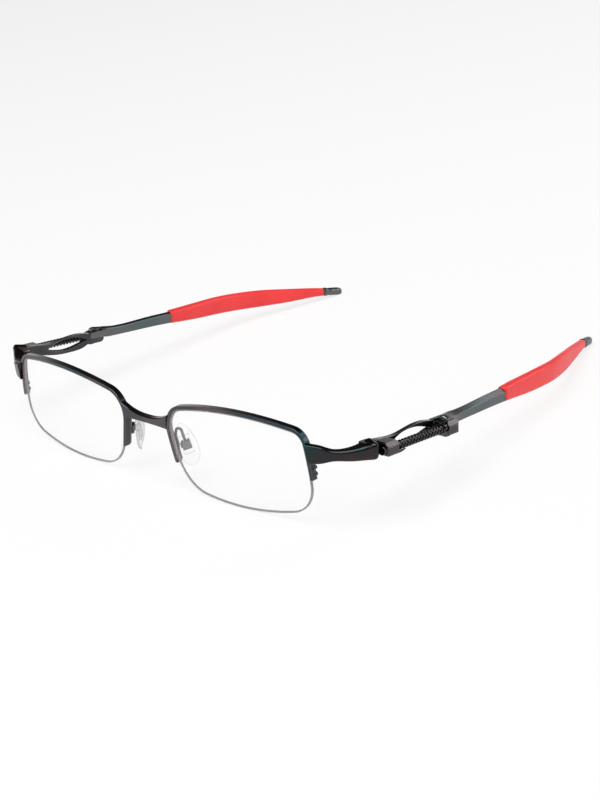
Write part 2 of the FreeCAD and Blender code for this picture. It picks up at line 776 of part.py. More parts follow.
def nut_solid():
    start = spring_span()[1]
    nut = rod(nut_radius, nut_length, Vec(spring_out, start, spring_up), Y_AXIS)
    hole_base = Vec(spring_out, start - overrun, spring_up)
    return nut.cut(rod(rod_radius, nut_length + 2 * overrun, hole_base, Y_AXIS))


# Loop casting, in the temple frame

def side_wire(curves):
    """A closed wire in the YZ plane from lists of (back, up) points; each list is one smooth curve."""
    edges = []
    for points in curves:
        spots = [Vec(0, y, z) for y, z in points]
        edges.append(Part.makeLine(*spots) if len(spots) == 2 else smooth_edge(spots))
    return Part.Wire(edges)


def loop_plate():
    """The flat plate, seen from the side."""
    run = loop_length + loop_front_start
    edges = []
    for shares in (loop_top_shares, loop_low_shares):
        edges.append([(s * run - loop_front_start, loop_mid_up + rise * loop_height) for s, rise in shares])
    top, low = edges
    plate = prism(side_wire([top, [top[-1], low[0]], low, [low[-1], top[0]]]), Vec(loop_thickness, 0, 0))
    plate.translate(Vec(-loop_thickness / 2, 0, 0))
    return plate


def eye_outline(grow):
    """The eye's edge, or one grown all round."""
    length, height = eye_length + 2 * grow, eye_height + 2 * grow
    top, low = ([(eye_start - grow + share * length, eye_mid_up + rise * height) for share, rise in shares]
                for shares in (eye_top_shares, eye_low_shares))
    return side_wire([top, low])


def eye_cut():
    """The eye between the two arms, bevelled on both faces."""
    through = prism(eye_outline(0), Vec(loop_thickness + 2 * overrun, 0, 0))
    through.translate(Vec(-loop_thickness / 2 - overrun, 0, 0))
    bevels = []
    for face in (-1, 1):
        inner, outer = eye_outline(0), eye_outline(2 * eye_chamfer)
        inner.translate(Vec(face * (loop_thickness / 2 - eye_chamfer), 0, 0))
        outer.translate(Vec(face * (loop_thickness / 2 + eye_chamfer), 0, 0))
        bevels.append(loft([inner, outer], True))
    return through.fuse(bevels)


def corner_arc(centre, radius, first_deg):
    """A quarter round in plan, from an angle that turns on by 90 degrees."""
    spots = []
    for turn in (0, 45, 90):
        angle = math.radians(first_deg + turn)
        spots.append(centre.add(Vec(math.cos(angle), math.sin(angle), 0).multiply(radius)))
    return Part.Arc(*spots).toShape()


def outboard_block(start, length, height, mid, end_round):
    """A block on the plate's outer face with a bevelled top and a fine line below the bevel."""
    low, top, end = mid - height / 2, mid + height / 2, start + length
    inner = loop_thickness / 2 - seat_clearance
    corners = [Vec(inner, start - overrun, low), Vec(block_outer - block_low_bevel, start - overrun, low),
               Vec(block_outer, start - overrun, low + block_low_bevel),
               Vec(block_outer, start - overrun, top - block_bevel_drop),
               Vec(block_outer - block_bevel_width, start - overrun, top), Vec(inner, start - overrun, top)]
    bar = prism(Part.makePolygon(corners + corners[:1]), Vec(0, length + 2 * overrun, 0))
    level = low - overrun
    first = corner_arc(Vec(block_outer - block_round, start + block_round, level), block_round, -90)
    second = corner_arc(Vec(block_outer - end_round, end - end_round, level), end_round, 0)
    inner_start, inner_end = Vec(inner, start, level), Vec(inner, end, level)
    plan = [Part.makeLine(inner_start, first.firstVertex().Point), first,
            Part.makeLine(first.lastVertex().Point, second.firstVertex().Point), second,
            Part.makeLine(second.lastVertex().Point, inner_end), Part.makeLine(inner_end, inner_start)]
    body = bar.common(prism(Part.Wire(plan), Vec(0, 0, height + 2 * overrun)))
    side = [Vec(inner - overrun, start, low), Vec(inner - overrun, end, low),
            Vec(inner - overrun, end, top), Vec(inner - overrun, start, top)]
    body = body.common(prism(rounded_corners(side, end_round), Vec(block_outer + 2 * overrun, 0, 0)))
    line_up = top - block_bevel_drop - block_line_width
    line = block(Vec(block_outer - block_line_depth, start - overrun, line_up - block_line_width / 2),
                 Vec(block_outer + overrun, end + overrun, line_up + block_line_width / 2))
    return body.cut(line)


def saddle(face, reach, low, shoulder):
    """The lip that sweeps from a block's face along the underside of the coil."""
    root = face - math.copysign(2 * block_round, reach)
    crest = (face + reach, spring_up - spring_diameter * saddle_crest_share)
    belly_reach, belly_rise = saddle_belly_shares
    under = [(root, low), (face + reach * belly_reach, low + abs(reach) * belly_rise), crest]
    over = [crest, (face + reach * saddle_inner_share, spring_up), (root, shoulder)]
    width = block_outer - block_low_bevel - loop_thickness / 2
    lip = prism(side_wire([under, over, [over[-1], under[0]]]), Vec(width, 0, 0))
    lip.translate(Vec(loop_thickness / 2 - seat_clearance, 0, 0))
    return lip


def coil_pocket(start, end):
    radius = spring_diameter / 2 + pocket_clearance
    return rod(radius, end - start, Vec(spring_out, start, spring_up), Y_AXIS)


def front_block():
    face = block_front_length - block_front_start
    low, top = block_front_up - block_front_height / 2, block_front_up + block_front_height / 2
    size = (block_front_length, block_front_height)
    body = outboard_block(-block_front_start, *size, block_front_up, block_round)
    lip = saddle(face, saddle_reach, low, top - block_bevel_drop)
    bore = rod(rod_radius + rod_clearance, block_front_length + 2 * overrun,
               Vec(spring_out, -block_front_start - overrun, spring_up), Y_AXIS)
    return body.fuse(lip).cut(coil_pocket(face, face + saddle_reach + overrun)).cut(bore)


def rear_block_levels():
    return block_rear_up - block_rear_height / 2, block_rear_up + block_rear_height / 2


def rear_block():
    low, top = rear_block_levels()
    size = (block_rear_length, block_rear_height)
    body = outboard_block(block_rear_start, *size, block_rear_up, block_rear_round)
    lip = saddle(block_rear_start, -saddle_reach, low, top - block_bevel_drop)
    pocket_start = block_rear_start - saddle_reach - overrun
    return body.fuse(lip).cut(coil_pocket(pocket_start, block_rear_start + block_rear_length - pocket_wall))


def tongue_solid(end):
    """The spar's tongue, with a round front, that is let into the plate's inner face."""
    start = loop_length - tongue_reach
    face = -loop_thickness / 2
    nose = rod(tongue_height / 2, tongue_thickness, Vec(face, start, tongue_up), X_AXIS)
    bar = block(Vec(face, start, tongue_up - tongue_height / 2),
                Vec(face + tongue_thickness, end, tongue_up + tongue_height / 2))
    return nose.fuse(bar).removeSplitter()


def loop_solid():
    """The loop casting: the plate with its eye, the two blocks, and the seat of the spar's tongue."""
    plate = loop_plate().cut(eye_cut())
    body = plate.fuse([front_block(), rear_block()])
    swing = rod(ear_radius + knuckle_clearance, 2 * hinge_height, pin_spot(-hinge_height), Z_AXIS)
    return body.cut(swing).cut(tongue_solid(loop_length + overrun)).cut(spar_screw_solid()).removeSplitter()


# Spar, sock and tip, in the temple frame

def temple_row(back):
    """Outboard and up position of the temple's middle, its height and its thickness."""
    share, bow, rise, height, thickness = value_at(temple_shares, back / temple_reach())
    return -bow * sock_bow_in, rise * sock_height, height * sock_height, thickness * sock_thickness


def temple_place(back):
    """Middle of the temple's line and the direction across it, square to the line in plan."""
    out, up = temple_row(back)[:2]
    step = mesh_step
    heading = Vec(temple_row(back + step)[0] - temple_row(back - step)[0], 2 * step, 0).normalize()
    return Vec(out, back, up), Vec(heading.y, -heading.x, 0)


def temple_section(back, radius, size=None):
    """A rounded section square to the temple's line, of the line's own size or a stated one."""
    centre, across = temple_place(back)
    width, tall = size or (temple_row(back)[3], temple_row(back)[2])
    return bar_section(centre, across, Z_AXIS, width, tall, radius)


def spar_section(back, shrink=0.0):
    """The spar is a step smaller all round than the sock that follows it."""
    centre, across = temple_place(back)
    height, thickness = (size - spar_step - shrink for size in temple_row(back)[2:])
    return ridged_section(centre, across, Z_AXIS, thickness, height, spar_round)


def evenly(start, end, count):
    return [start + (end - start) * k / (count - 1) for k in range(count)]


def spar_solid(screw):
    """The ridged bar: its foot lies on the rear block, its core runs on inside the sock and into the tip."""
    sections = []
    for k in range(foot_dome_stations, 0, -1):
        bend = math.pi / 2 * k / (foot_dome_stations + 1)
        shrink = 2 * foot_round * (1 - math.cos(bend))
        sections.append(spar_section(foot_start - foot_round * math.sin(bend), shrink))
    sections += [spar_section(back) for back in evenly(foot_start, sock_start, spar_stations)]
    bar = loft(sections)
    reach = temple_reach()
    low, top = rear_block_levels()
    beside_plate = block(Vec(-reach, -reach, -reach), Vec(loop_thickness / 2, loop_length, reach))
    under_foot = block(Vec(-reach, -reach, -reach), Vec(reach, block_rear_start + block_rear_length, top))
    bar = bar.cut(beside_plate.fuse(under_foot))
    core_end = sock_start + sock_length + core_in_tip
    stations = evenly(sock_start - spar_step, core_end, core_stations)
    core = loft([temple_section(back, core_round, (core_thickness, core_height)) for back in stations])
    tongue = tongue_solid(block_rear_start + block_rear_length + spar_step)
    return bar.fuse([core, tongue]).cut(screw).removeSplitter()


def sock_solid(spar):
    stations = evenly(sock_start, sock_start + sock_length, sock_stations)
    return loft([temple_section(back, sock_round) for back in stations]).cut(spar)


def tip_solid(spar):
    """The dark end piece: it keeps the sock's height, then rounds off over its dome."""
    start, end = sock_start + sock_length, temple_reach()
    stations = evenly(start, end - tip_dome, tip_stations)
    sizes = [(temple_row(back)[3], temple_row(back)[2]) for back in stations]
    sections = []
    for back, size in zip(stations, sizes):
        sections.append(temple_section(back, min(size) * tip_corner_share, size))
    for k in range(1, tip_dome_stations):
        turn = math.pi / 2 * k / tip_dome_stations
        back = end - tip_dome + tip_dome * math.sin(turn)
        size = [s * math.cos(turn) ** tip_bluntness_share for s in sizes[-1]]
        sections.append(temple_section(back, min(size) * tip_corner_share, size))
    return loft(sections).cut(spar)


def spar_screw_solid():
    """Screwed in from the inner side, through the tongue and the plate into the rear block's root."""
    base = Vec(-loop_thickness / 2, loop_length - tongue_reach, tongue_up)
    shank = rod(spar_screw_radius, spar_screw_length, base, X_AXIS)
    head = rod(spar_screw_head_radius, spar_screw_head_height, base, X_AXIS.negative())
    return shank.fuse(head).removeSplitter()


# Nose pads, in the pad frame

def drop_outline():
    """A drop shape: a small round at the top, a large one below, and bowed sides."""
    top, low = pad_width * pad_top_share / 2, pad_width / 2
    up, down = pad_length / 2 - top, pad_length / 2 - low
    lean = math.asin((low - top) / (up + down))
    c, s = math.cos(lean), math.sin(lean)
    points = {}
    for side in (-1, 1):
        points[side] = (Vec(side * top * c, -up - top * s, 0),
                        Vec(side * low * c, down - low * s, 0))
    edges = [
        Part.Arc(points[-1][0], Vec(0, -up - top, 0), points[1][0]).toShape(),
        Part.makeLine(points[1][0], points[1][1]),
        Part.Arc(points[1][1], Vec(0, down + low, 0), points[-1][1]).toShape(),
        Part.makeLine(points[-1][1], points[-1][0])]
    return Part.Wire(edges)


def pad_back_level():
    return -pad_thickness / 2


def pad_box_front():
    return pad_back_level() - pad_box_gap


def pad_pivot():
    return Vec(0, -pad_box_lift, pad_box_front() - pad_lug_reach / 2)


def pad_core_solid():
    """The stiff plate inside the pad, with the lug that the screw holds."""
    low = pad_back_level() + pad_core_sink
    plate = block(Vec(-pad_core_width / 2, -pad_core_length / 2, low),
                  Vec(pad_core_width / 2, pad_core_length / 2, low + pad_core_thickness))
    lug_low, lug_high = -pad_box_lift - pad_lug_height / 2, -pad_box_lift + pad_lug_height / 2
    lug = block(Vec(-pad_lug_thickness / 2, lug_low, pad_box_front() - pad_lug_reach),
                Vec(pad_lug_thickness / 2, lug_high, low))
    hole = rod(pad_screw_radius + pin_clearance, pad_lug_thickness + 2 * overrun,
               pad_pivot().sub(Vec(pad_lug_thickness / 2 + overrun, 0, 0)), X_AXIS)
    return plate.fuse(lug).cut(hole).removeSplitter()


def nose_pad_solid(core):
    """The soft pad: crowned towards the nose, flat at its back."""
    body = prism(drop_outline(), Vec(0, 0, pad_thickness))
    body.translate(Vec(0, 0, pad_back_level()))
    crown = Part.makeSphere(pad_crown_radius, Vec(0, 0, pad_thickness / 2 - pad_crown_radius))
    return body.common(crown).cut(core)


def pad_box_solid():
    front = pad_box_front()
    low, high = -pad_box_lift - pad_box_height / 2, -pad_box_lift + pad_box_height / 2
    box = block(Vec(-pad_box_width / 2, low, front - pad_box_depth - pad_box_wall),
                Vec(pad_box_width / 2, high, front))
    box = box.makeFillet(pad_box_round, box.Edges)
    gap = pad_lug_thickness / 2 + pad_box_clearance
    slot = block(Vec(-gap, low - overrun, front - pad_box_depth), Vec(gap, high + overrun, front + overrun))
    bore = rod(pad_screw_radius, pad_box_width + 2 * overrun,
               pad_pivot().sub(Vec(pad_box_width / 2 + overrun, 0, 0)), X_AXIS)
    return box.cut(slot).cut(bore)


def pad_screw_solid():
    start = pad_pivot().sub(Vec(pad_box_width / 2, 0, 0))
    shank = rod(pad_screw_radius, pad_box_width, start, X_AXIS)
    head = rod(pad_screw_head_radius, pad_screw_head_height, start, X_AXIS.negative())
    outside, floor = -pad_screw_head_height - overrun, -pad_screw_head_height / 2
    slot = block(start.add(Vec(outside, -screw_slot_width / 2, -pad_screw_head_radius)),
                 start.add(Vec(floor, screw_slot_width / 2, pad_screw_head_radius)))
    return shank.fuse(head).cut(slot).removeSplitter()


def pad_arm_solid():
    """The bent wire from the back of the rim's nasal leg, up in an arch and down to the pad's box."""
    behind = -rim_depth / 2 - pad_wire_diameter / 2
    foot = []
    for height in (-rim_nasal_leg + pad_wire_diameter / 2, -rim_nasal_leg + pad_wire_seat):
        spot = surface_point(-1, height)
        foot.append(LENS.multVec(Vec(spot.x - lens_seat_gap - rim_wall / 2, height, spot.z + behind)))
    middle = pad_box_front() - (pad_box_depth + pad_box_wall) / 2
    top = PAD.multVec(Vec(0, -pad_box_lift - pad_box_height / 2, middle))
    above = top.add(PAD.Rotation.multVec(Y_AXIS).multiply(-pad_wire_drop))
    arch = above.z + pad_wire_arch
    run = above.sub(foot[1])
    points = list(foot)
    for along, aside, rise in pad_wire_shares:
        points.append(Vec(foot[1].x + run.x * along - pad_wire_swing * aside, foot[1].y + run.y * along,
                          foot[1].z + (arch - foot[1].z) * rise))
    points += [above, top]
    return bent_wire(points, [pad_bend_share] * (len(points) - 2), pad_wire_diameter)


# The whole: one side is made, placed and mirrored

def left_side():
    """Every node of the wearer's left side, in the frame of the part."""
    temple = temple_frame(lens_floor())
    spar_screw = spar_screw_solid()
    spar = spar_solid(spar_screw)
    core = pad_core_solid()
    lens_parts = {
        "rim": rim_solid(), "rim_liner": liner_solid(), "lens": lens_solid(), "lens_cord": cord_solid()}
    temple_parts = {
        "hinge_ears": hinge_ears_solid(), "hinge_screw": hinge_screw_solid(),
        "hinge_washers": washers_solid(), "hinge_slider": slider_solid(), "spring_rod": rod_solid(),
        "rod_nut": nut_solid(), "coil_spring": coil_solid(), "temple_loop": loop_solid(),
        "temple_spar": spar, "spar_screw": spar_screw, "ear_sock": sock_solid(spar),
        "temple_tip": tip_solid(spar)}
    pad_parts = {"pad_core": core, "nose_pad": nose_pad_solid(core), "pad_box": pad_box_solid(),
                 "pad_screw": pad_screw_solid()}
    nodes = {name: moved(shape, LENS) for name, shape in lens_parts.items()}
    nodes.update({name: moved(shape, temple) for name, shape in temple_parts.items()})
    nodes.update({name: moved(shape, PAD) for name, shape in pad_parts.items()})
    nodes["pad_arm"] = pad_arm_solid().cut(nodes["rim"])
    nodes["endpiece"] = endpiece_solid(temple)
    return nodes


def measured_box(shapes):
    """The lowest and highest corners, measured on a fine mesh."""
    spots = [p for shape in shapes for p in shape.tessellate(mesh_step)[0]]
    return [Vec(*(pick(getattr(p, c) for p in spots) for c in "xyz")) for pick in (min, max)]


def origin_shift(nodes):
    """Puts the origin at the middle of the footprint, on the floor."""
    low, high = measured_box(nodes.values())
    return Vec(-(low.x + high.x) / 2, -(low.y + high.y) / 2, -low.z)


def whole():
    nodes = {"bridge": bridge_solid()}
    for name, shape in left_side().items():
        nodes[name + "_left"] = shape
        nodes[name + "_right"] = shape.mirror(Vec(0, 0, 0), X_AXIS)
    shift = origin_shift(nodes)
    for shape in nodes.values():
        shape.translate(shift)
    return nodes, shift


if __name__ == "__main__":
    os.makedirs("parts", exist_ok=True)
    solids, offset = whole()
    for node, solid in solids.items():
        solid.exportStep("parts/%s.step" % node)
    print("%d nodes, moved by %s" % (len(solids), tuple(round(v, 4) for v in offset)))
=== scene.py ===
import bpy
import json
import numpy as np
from mathutils import Matrix, Vector


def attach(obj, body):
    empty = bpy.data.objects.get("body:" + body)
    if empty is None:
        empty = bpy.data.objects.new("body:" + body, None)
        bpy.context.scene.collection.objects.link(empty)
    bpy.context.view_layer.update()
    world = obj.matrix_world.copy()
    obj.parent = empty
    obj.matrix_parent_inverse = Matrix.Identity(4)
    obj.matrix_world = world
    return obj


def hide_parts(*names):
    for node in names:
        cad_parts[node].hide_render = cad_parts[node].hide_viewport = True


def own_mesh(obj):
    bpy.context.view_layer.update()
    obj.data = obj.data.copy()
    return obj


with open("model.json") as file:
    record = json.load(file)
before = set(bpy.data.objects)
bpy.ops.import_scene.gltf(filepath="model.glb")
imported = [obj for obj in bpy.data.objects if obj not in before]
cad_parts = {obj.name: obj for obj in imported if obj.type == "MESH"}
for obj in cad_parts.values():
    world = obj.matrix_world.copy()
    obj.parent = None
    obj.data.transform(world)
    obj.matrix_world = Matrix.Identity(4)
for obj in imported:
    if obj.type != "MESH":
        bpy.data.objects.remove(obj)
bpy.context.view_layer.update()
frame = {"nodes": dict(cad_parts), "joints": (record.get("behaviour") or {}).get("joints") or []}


# Camera. It stands in front of the wearer's left lens and a little above, turned so that the far
# temple runs up to the right, as in the photograph.
camera_turn_deg = 48.925
camera_rise_deg = 23.037
camera_roll_deg = -9.621
camera_distance = 0.55038
camera_aim = (-0.00009, -0.00704, 0.00131)
camera_lens = 83.42
camera_shift = -0.0025


def camera_axes(turn, rise, roll):
    """Right, up and back of a camera, from its turn about Z, its rise and its roll, in radians."""
    back = np.array([np.sin(turn) * np.cos(rise), -np.cos(turn) * np.cos(rise), np.sin(rise)])
    level = np.array([np.cos(turn), np.sin(turn), 0.0])
    upright = np.cross(back, level)
    right = np.cos(roll) * level + np.sin(roll) * upright
    return right, np.cross(back, right), back


def add_camera():
    """The camera, set back from its aim by its distance."""
    right, up, back = camera_axes(*np.radians([camera_turn_deg, camera_rise_deg, camera_roll_deg]))
    data = bpy.data.cameras.new("camera")
    data.lens = camera_lens
    data.shift_y = camera_shift
    made = bpy.data.objects.new("camera", data)
    bpy.context.collection.objects.link(made)
    place = np.array(camera_aim) + back * camera_distance
    rows = [[*row, p] for row, p in zip(np.stack([right, up, back], 1), place)]
    made.matrix_world = Matrix(rows + [[0, 0, 0, 1]])
    bpy.context.scene.camera = made


add_camera()
bpy.context.scene.view_settings.view_transform = "Standard"


# Floor and light. A white table in a pale room: a broad lamp overhead, two behind that the bevelled
# edges catch, a weak one in front, and a dim upper room that leaves the black top faces black.
floor_reach = 4.0
floor_colour = (0.93, 0.93, 0.93, 1)
floor_glow_share = 0.78
room_low_level = 1.0
room_low_height = 0.02
room_high_level = 0.06
room_high_height = 0.3
lamps = {
    "overhead": {"place": (0.1, -0.35, 0.95), "size": 0.8, "power": 9.0},
    "behind_right": {"place": (0.75, 0.5, 0.36), "size": 0.4, "power": 1.8},
    "behind": {"place": (0.3, 0.77, 0.49), "size": 0.36, "power": 1.6},
    "front_fill": {"place": (-0.35, -0.95, 0.5), "size": 0.7, "power": 3.0}}


class Socket:
    """A socket of a node tree. Sums, differences and products on it add Math nodes."""

    def __init__(self, tree, out=None):
        self.tree = tree
        self.out = out

    def node(self, kind, settings, inputs, output=0):
        """Adds a node: its settings, then a value or link for each input; gives one output."""
        made = self.tree.nodes.new(kind)
        for name, value in settings.items():
            if name == "stops":
                self.set_stops(made.color_ramp, value)
            else:
                setattr(made, name, value)
        for name, value in inputs.items():
            if isinstance(value, Socket):
                self.tree.links.new(value.out, made.inputs[name])
            else:
                made.inputs[name].default_value = value
        return Socket(self.tree, made.outputs[output] if len(made.outputs) else None)

    @staticmethod
    def set_stops(ramp, stops):
        while len(ramp.elements) < len(stops):
            ramp.elements.new(1.0)
        for element, (place, colour) in zip(ramp.elements, stops):
            element.position = place
            element.color = colour

    def math(self, operation, one, two):
        return self.node("ShaderNodeMath", {"operation": operation}, {0: one, 1: two})

    def __add__(self, other):
        return self.math("ADD", self, other)

    def __sub__(self, other):
        return self.math("SUBTRACT", self, other)

    def __rsub__(self, other):
        return self.math("SUBTRACT", other, self)

    def __mul__(self, other):
        return self.math("MULTIPLY", self, other)

    __radd__ = __add__
    __rmul__ = __mul__


def empty_tree(owner):
    """Clears the node tree of a material or world, and wraps it for building anew."""
    owner.use_nodes = True
    owner.node_tree.nodes.clear()
    return Socket(owner.node_tree)


def straight_rays(start):
    """1 for what the eye sees directly, in metal or through glass; 0 for light on the object."""
    kinds = [start.node("ShaderNodeLightPath", {}, {}, ray)
             for ray in ("Is Camera Ray", "Is Glossy Ray", "Is Transmission Ray")]
    return start.math("MAXIMUM", start.math("MAXIMUM", kinds[0], kinds[1]), kinds[2])


def add_floor():
    """A flat square table top that keeps the shadow and is nearly white to the eye."""
    side = floor_reach / 2
    corners = [(-side, -side, 0), (side, -side, 0), (side, side, 0), (-side, side, 0)]
    data = bpy.data.meshes.new("floor")
    data.from_pydata(corners, [], [range(len(corners))])
    made = bpy.data.objects.new("floor", data)
    bpy.context.collection.objects.link(made)
    paint = bpy.data.materials.new("floor_white")
    start = empty_tree(paint)
    matt = start.node("ShaderNodeBsdfDiffuse", {}, {"Color": floor_colour})
    glow = start.node("ShaderNodeEmission", {}, {"Color": (1, 1, 1, 1), "Strength": 1.0})
    share = straight_rays(start) * floor_glow_share
    both = start.node("ShaderNodeMixShader", {}, {0: share, 1: matt, 2: glow})
    start.node("ShaderNodeOutputMaterial", {}, {"Surface": both})
    data.materials.append(paint)


def add_room():
    """Bright at floor level and dimmer overhead, by the height of the direction that is looked in."""
    world = bpy.data.worlds.new("room")
    bpy.context.scene.world = world
    start = empty_tree(world)
    direction = start.node("ShaderNodeTexCoord", {}, {}, "Generated")
    height = start.node("ShaderNodeSeparateXYZ", {}, {"Vector": direction}, "Z")
    stops = [
        (room_low_height, (room_low_level,) * 3 + (1,)),
        (room_high_height, (room_high_level,) * 3 + (1,))]
    shade = start.node("ShaderNodeValToRGB", {"stops": stops}, {"Fac": height})
    lit = start.node("ShaderNodeBackground", {}, {"Color": shade, "Strength": 1.0})
    white = start.node("ShaderNodeBackground", {}, {"Color": (1, 1, 1, 1), "Strength": 1.0})
    seen = start.node("ShaderNodeLightPath", {}, {}, "Is Camera Ray")
    both = start.node("ShaderNodeMixShader", {}, {0: seen, 1: lit, 2: white})
    start.node("ShaderNodeOutputWorld", {}, {"Surface": both})


def add_lamp(name, place, size, power):
    """A square lamp at a place, turned towards the origin."""
    data = bpy.data.lights.new(name, "AREA")
    data.size = size
    data.energy = power
    made = bpy.data.objects.new(name, data)
    bpy.context.collection.objects.link(made)
    made.location = place
    made.rotation_euler = Vector(place).to_track_quat("Z", "Y").to_euler()


add_floor()
add_room()
for lamp, facts in lamps.items():
    add_lamp(lamp, **facts)


# Rims and bridge: nickel silver bars with a thin, hard, dark plating that shows faint blue, green and
# brown, with a painted highlight of lighter grey along its edges. The bridge is soldered between the
# rims.
plate_black = (0.066, 0.064, 0.069, 1)
plate_green = (0.034, 0.058, 0.068, 1)
plate_brown = (0.108, 0.088, 0.092, 1)
# Lighter grey painted along the edges as a painted highlight, where the rounded normal turns from the
# flat one.
plate_edge_highlight = (0.42, 0.40, 0.40, 1)
plate_edge_highlight_share = 0.6
plate_rough = 0.22
plate_rough_swing = 0.12
tint_scale = 60.0
tint_detail = 2.0
tint_place_shares = (0.36, 0.5, 0.64)
grain_scale = 2500.0
grain_detail = 3.0
grain_height = 0.000004
grain_strength = 0.25
edge_radius = 0.00012
edge_samples = 6
# How far the rounded normal turns, from no painted highlight to its full share.
edge_highlight_start_share = 0.99
edge_highlight_full_share = 0.75


def plated(name, dark, tints, rough, edge_highlight_share):
    """Plated metal: slow tints in the plating, a fine grain, and rounded edges painted lighter as a
    painted highlight.
    """
    made = bpy.data.materials.new(name)
    start = empty_tree(made)
    spot = start.node("ShaderNodeTexCoord", {}, {}, "Object")
    slow = start.node("ShaderNodeTexNoise", {}, {
        "Vector": spot, "Scale": tint_scale, "Detail": tint_detail})
    stops = list(zip(tint_place_shares, (tints[0], dark, tints[1])))
    colour = start.node("ShaderNodeValToRGB", {"stops": stops}, {"Fac": slow})
    grain = start.node("ShaderNodeTexNoise", {}, {
        "Vector": spot, "Scale": grain_scale, "Detail": grain_detail})
    soft_edge = start.node("ShaderNodeBevel", {"samples": edge_samples}, {"Radius": edge_radius})
    flat = start.node("ShaderNodeNewGeometry", {}, {}, "Normal")
    turned = start.node("ShaderNodeVectorMath", {"operation": "DOT_PRODUCT"}, {
        0: soft_edge, 1: flat}, "Value")
    edge_highlight = start.node("ShaderNodeMapRange", {}, {
        "Value": turned, "From Min": edge_highlight_start_share, "From Max": edge_highlight_full_share,
        "To Min": 0.0, "To Max": edge_highlight_share})
    mixed = start.node("ShaderNodeMix", {"data_type": "RGBA"}, {0: edge_highlight, 6: colour, 7: plate_edge_highlight}, 2)
    bump = start.node("ShaderNodeBump", {}, {
        "Strength": grain_strength, "Distance": grain_height, "Height": grain, "Normal": soft_edge})
    shader = start.node("ShaderNodeBsdfPrincipled", {}, {
        "Base Color": mixed, "Metallic": 1.0, "Normal": bump,
        "Roughness": (grain - 0.5) * plate_rough_swing + rough})
    start.node("ShaderNodeOutputMaterial", {}, {"Surface": shader})
    return made


def dress(names, material):
    """Gives CAD nodes, named without their side, a material in place of their own."""
    for name in names:
        for node in (name, name + "_left", name + "_right"):
            if node in frame["nodes"]:
                data = frame["nodes"][node].data
                data.materials.clear()
                data.materials.append(material)


plate_tints = (plate_green, plate_brown)
black_plate = plated("black_plate", plate_black, plate_tints, plate_rough, plate_edge_highlight_share)
dress(["bridge", "rim"], black_plate)


# Endpieces, hinges and loops. They are castings and turned parts under the same plating, which is
# deeper on them, so that its tints show, and a strong painted highlight is painted on the edges of the
# loops.
deep_black = (0.036, 0.033, 0.036, 1)
deep_tints = ((0.018, 0.048, 0.044, 1), (0.066, 0.042, 0.040, 1))
deep_edge_highlight_share = 0.45
loop_black = (0.058, 0.054, 0.060, 1)
loop_tints = ((0.044, 0.054, 0.062, 1), (0.088, 0.080, 0.086, 1))
loop_edge_highlight_share = 0.7
deep_rough = 0.24
deep_plate = plated("deep_plate", deep_black, deep_tints, deep_rough, deep_edge_highlight_share)
loop_plate = plated("loop_plate", loop_black, loop_tints, deep_rough, loop_edge_highlight_share)
dress(["endpiece", "hinge_ears", "hinge_slider"], deep_plate)
dress(["temple_loop"], loop_plate)


# Spars and tips. Each spar is a flat bar screwed to the loop's tongue, and each tip closes its rear
# end. Both are plated in a lighter gunmetal grey with a blue cast.
gun_grey = (0.125, 0.136, 0.142, 1)
gun_tints = ((0.100, 0.132, 0.134, 1), (0.142, 0.138, 0.136, 1))
# Share of painted highlight on the edges of the spars and tips.
gun_edge_highlight_share = 0.5
gun_rough = 0.3
gunmetal = plated("gunmetal", gun_grey, gun_tints, gun_rough, gun_edge_highlight_share)
dress(["temple_spar", "temple_tip"], gunmetal)


# Small steel parts. Screws, rods, pad boxes and pad arms are of plain dull steel. The pad arms are
# bent from wire, and each pad box is soldered to the end of one.
steel_grey = (0.165, 0.168, 0.17, 1)
steel_tints = ((0.12, 0.12, 0.13, 1), (0.20, 0.19, 0.18, 1))
# Share of painted highlight on the edges of the steel parts.
steel_edge_highlight_share = 0.3
steel_rough = 0.34
steel = plated("steel", steel_grey, steel_tints, steel_rough, steel_edge_highlight_share)
dress(["hinge_screw", "spring_rod", "spar_screw", "pad_box", "pad_screw", "pad_arm"], steel)


# Lenses, the nylon strips and cords that hold them, and the hinge washers: clear plastic lenses that
# show only at their edges, grey nylon, and white nylon.
def plain_finish(name, colour, **values):
    """One even colour, with the shader's values given by name."""
    made = bpy.data.materials.new(name)
    start = empty_tree(made)
    shader = start.node("ShaderNodeBsdfPrincipled", {}, {"Base Color": colour, **values})
    start.node("ShaderNodeOutputMaterial", {}, {"Surface": shader})
    return made


lens_clear = (0.97, 0.98, 0.98, 1)
lens_rough = 0.03
lens_density = 0.06
strip_grey = (0.27, 0.23, 0.23, 1)
strip_rough = 0.4
cord_grey = (0.24, 0.24, 0.215, 1)
cord_rough = 0.35
washer_white = (0.8, 0.8, 0.78, 1)
washer_rough = 0.45
dress(["lens"], plain_finish("lens_clear", lens_clear, Roughness=lens_rough, Alpha=lens_density))
dress(["rim_liner"], plain_finish("strip_grey", strip_grey, Roughness=strip_rough))
dress(["lens_cord"], plain_finish("cord_grey", cord_grey, Roughness=cord_rough))
dress(["hinge_washers"], plain_finish("washer_white", washer_white, Roughness=washer_rough))


# Coil springs: 15 turns of black wire round each rod. On the glasses a spring squashes towards its
# front end as the temple is bent outwards; here it is a fixed shape on the temple. Its place is written
# out, back and up from the left temple's own joints, and the right spring is the left one's mirror
# image.
hinge_axis_spot = (-0.0005, -0.00175, 0.00075)
coil_place = (0.00365, 0.0044, 0.0002)
coil_radius = 0.00095
coil_wire_radius = 0.0003
coil_pitch = 0.0012
coil_turns = 15
coil_steps = 40
coil_around = 16
coil_black = (0.05, 0.05, 0.052, 1)
coil_tints = ((0.04, 0.046, 0.05, 1), (0.065, 0.058, 0.056, 1))
# Share of painted highlight on the edges of the springs.
coil_edge_highlight_share = 0.2
coil_rough = 0.2


def joint(name):
    """The frame's entry for a joint."""
    return next(j for j in frame["joints"] if j["name"] == name)


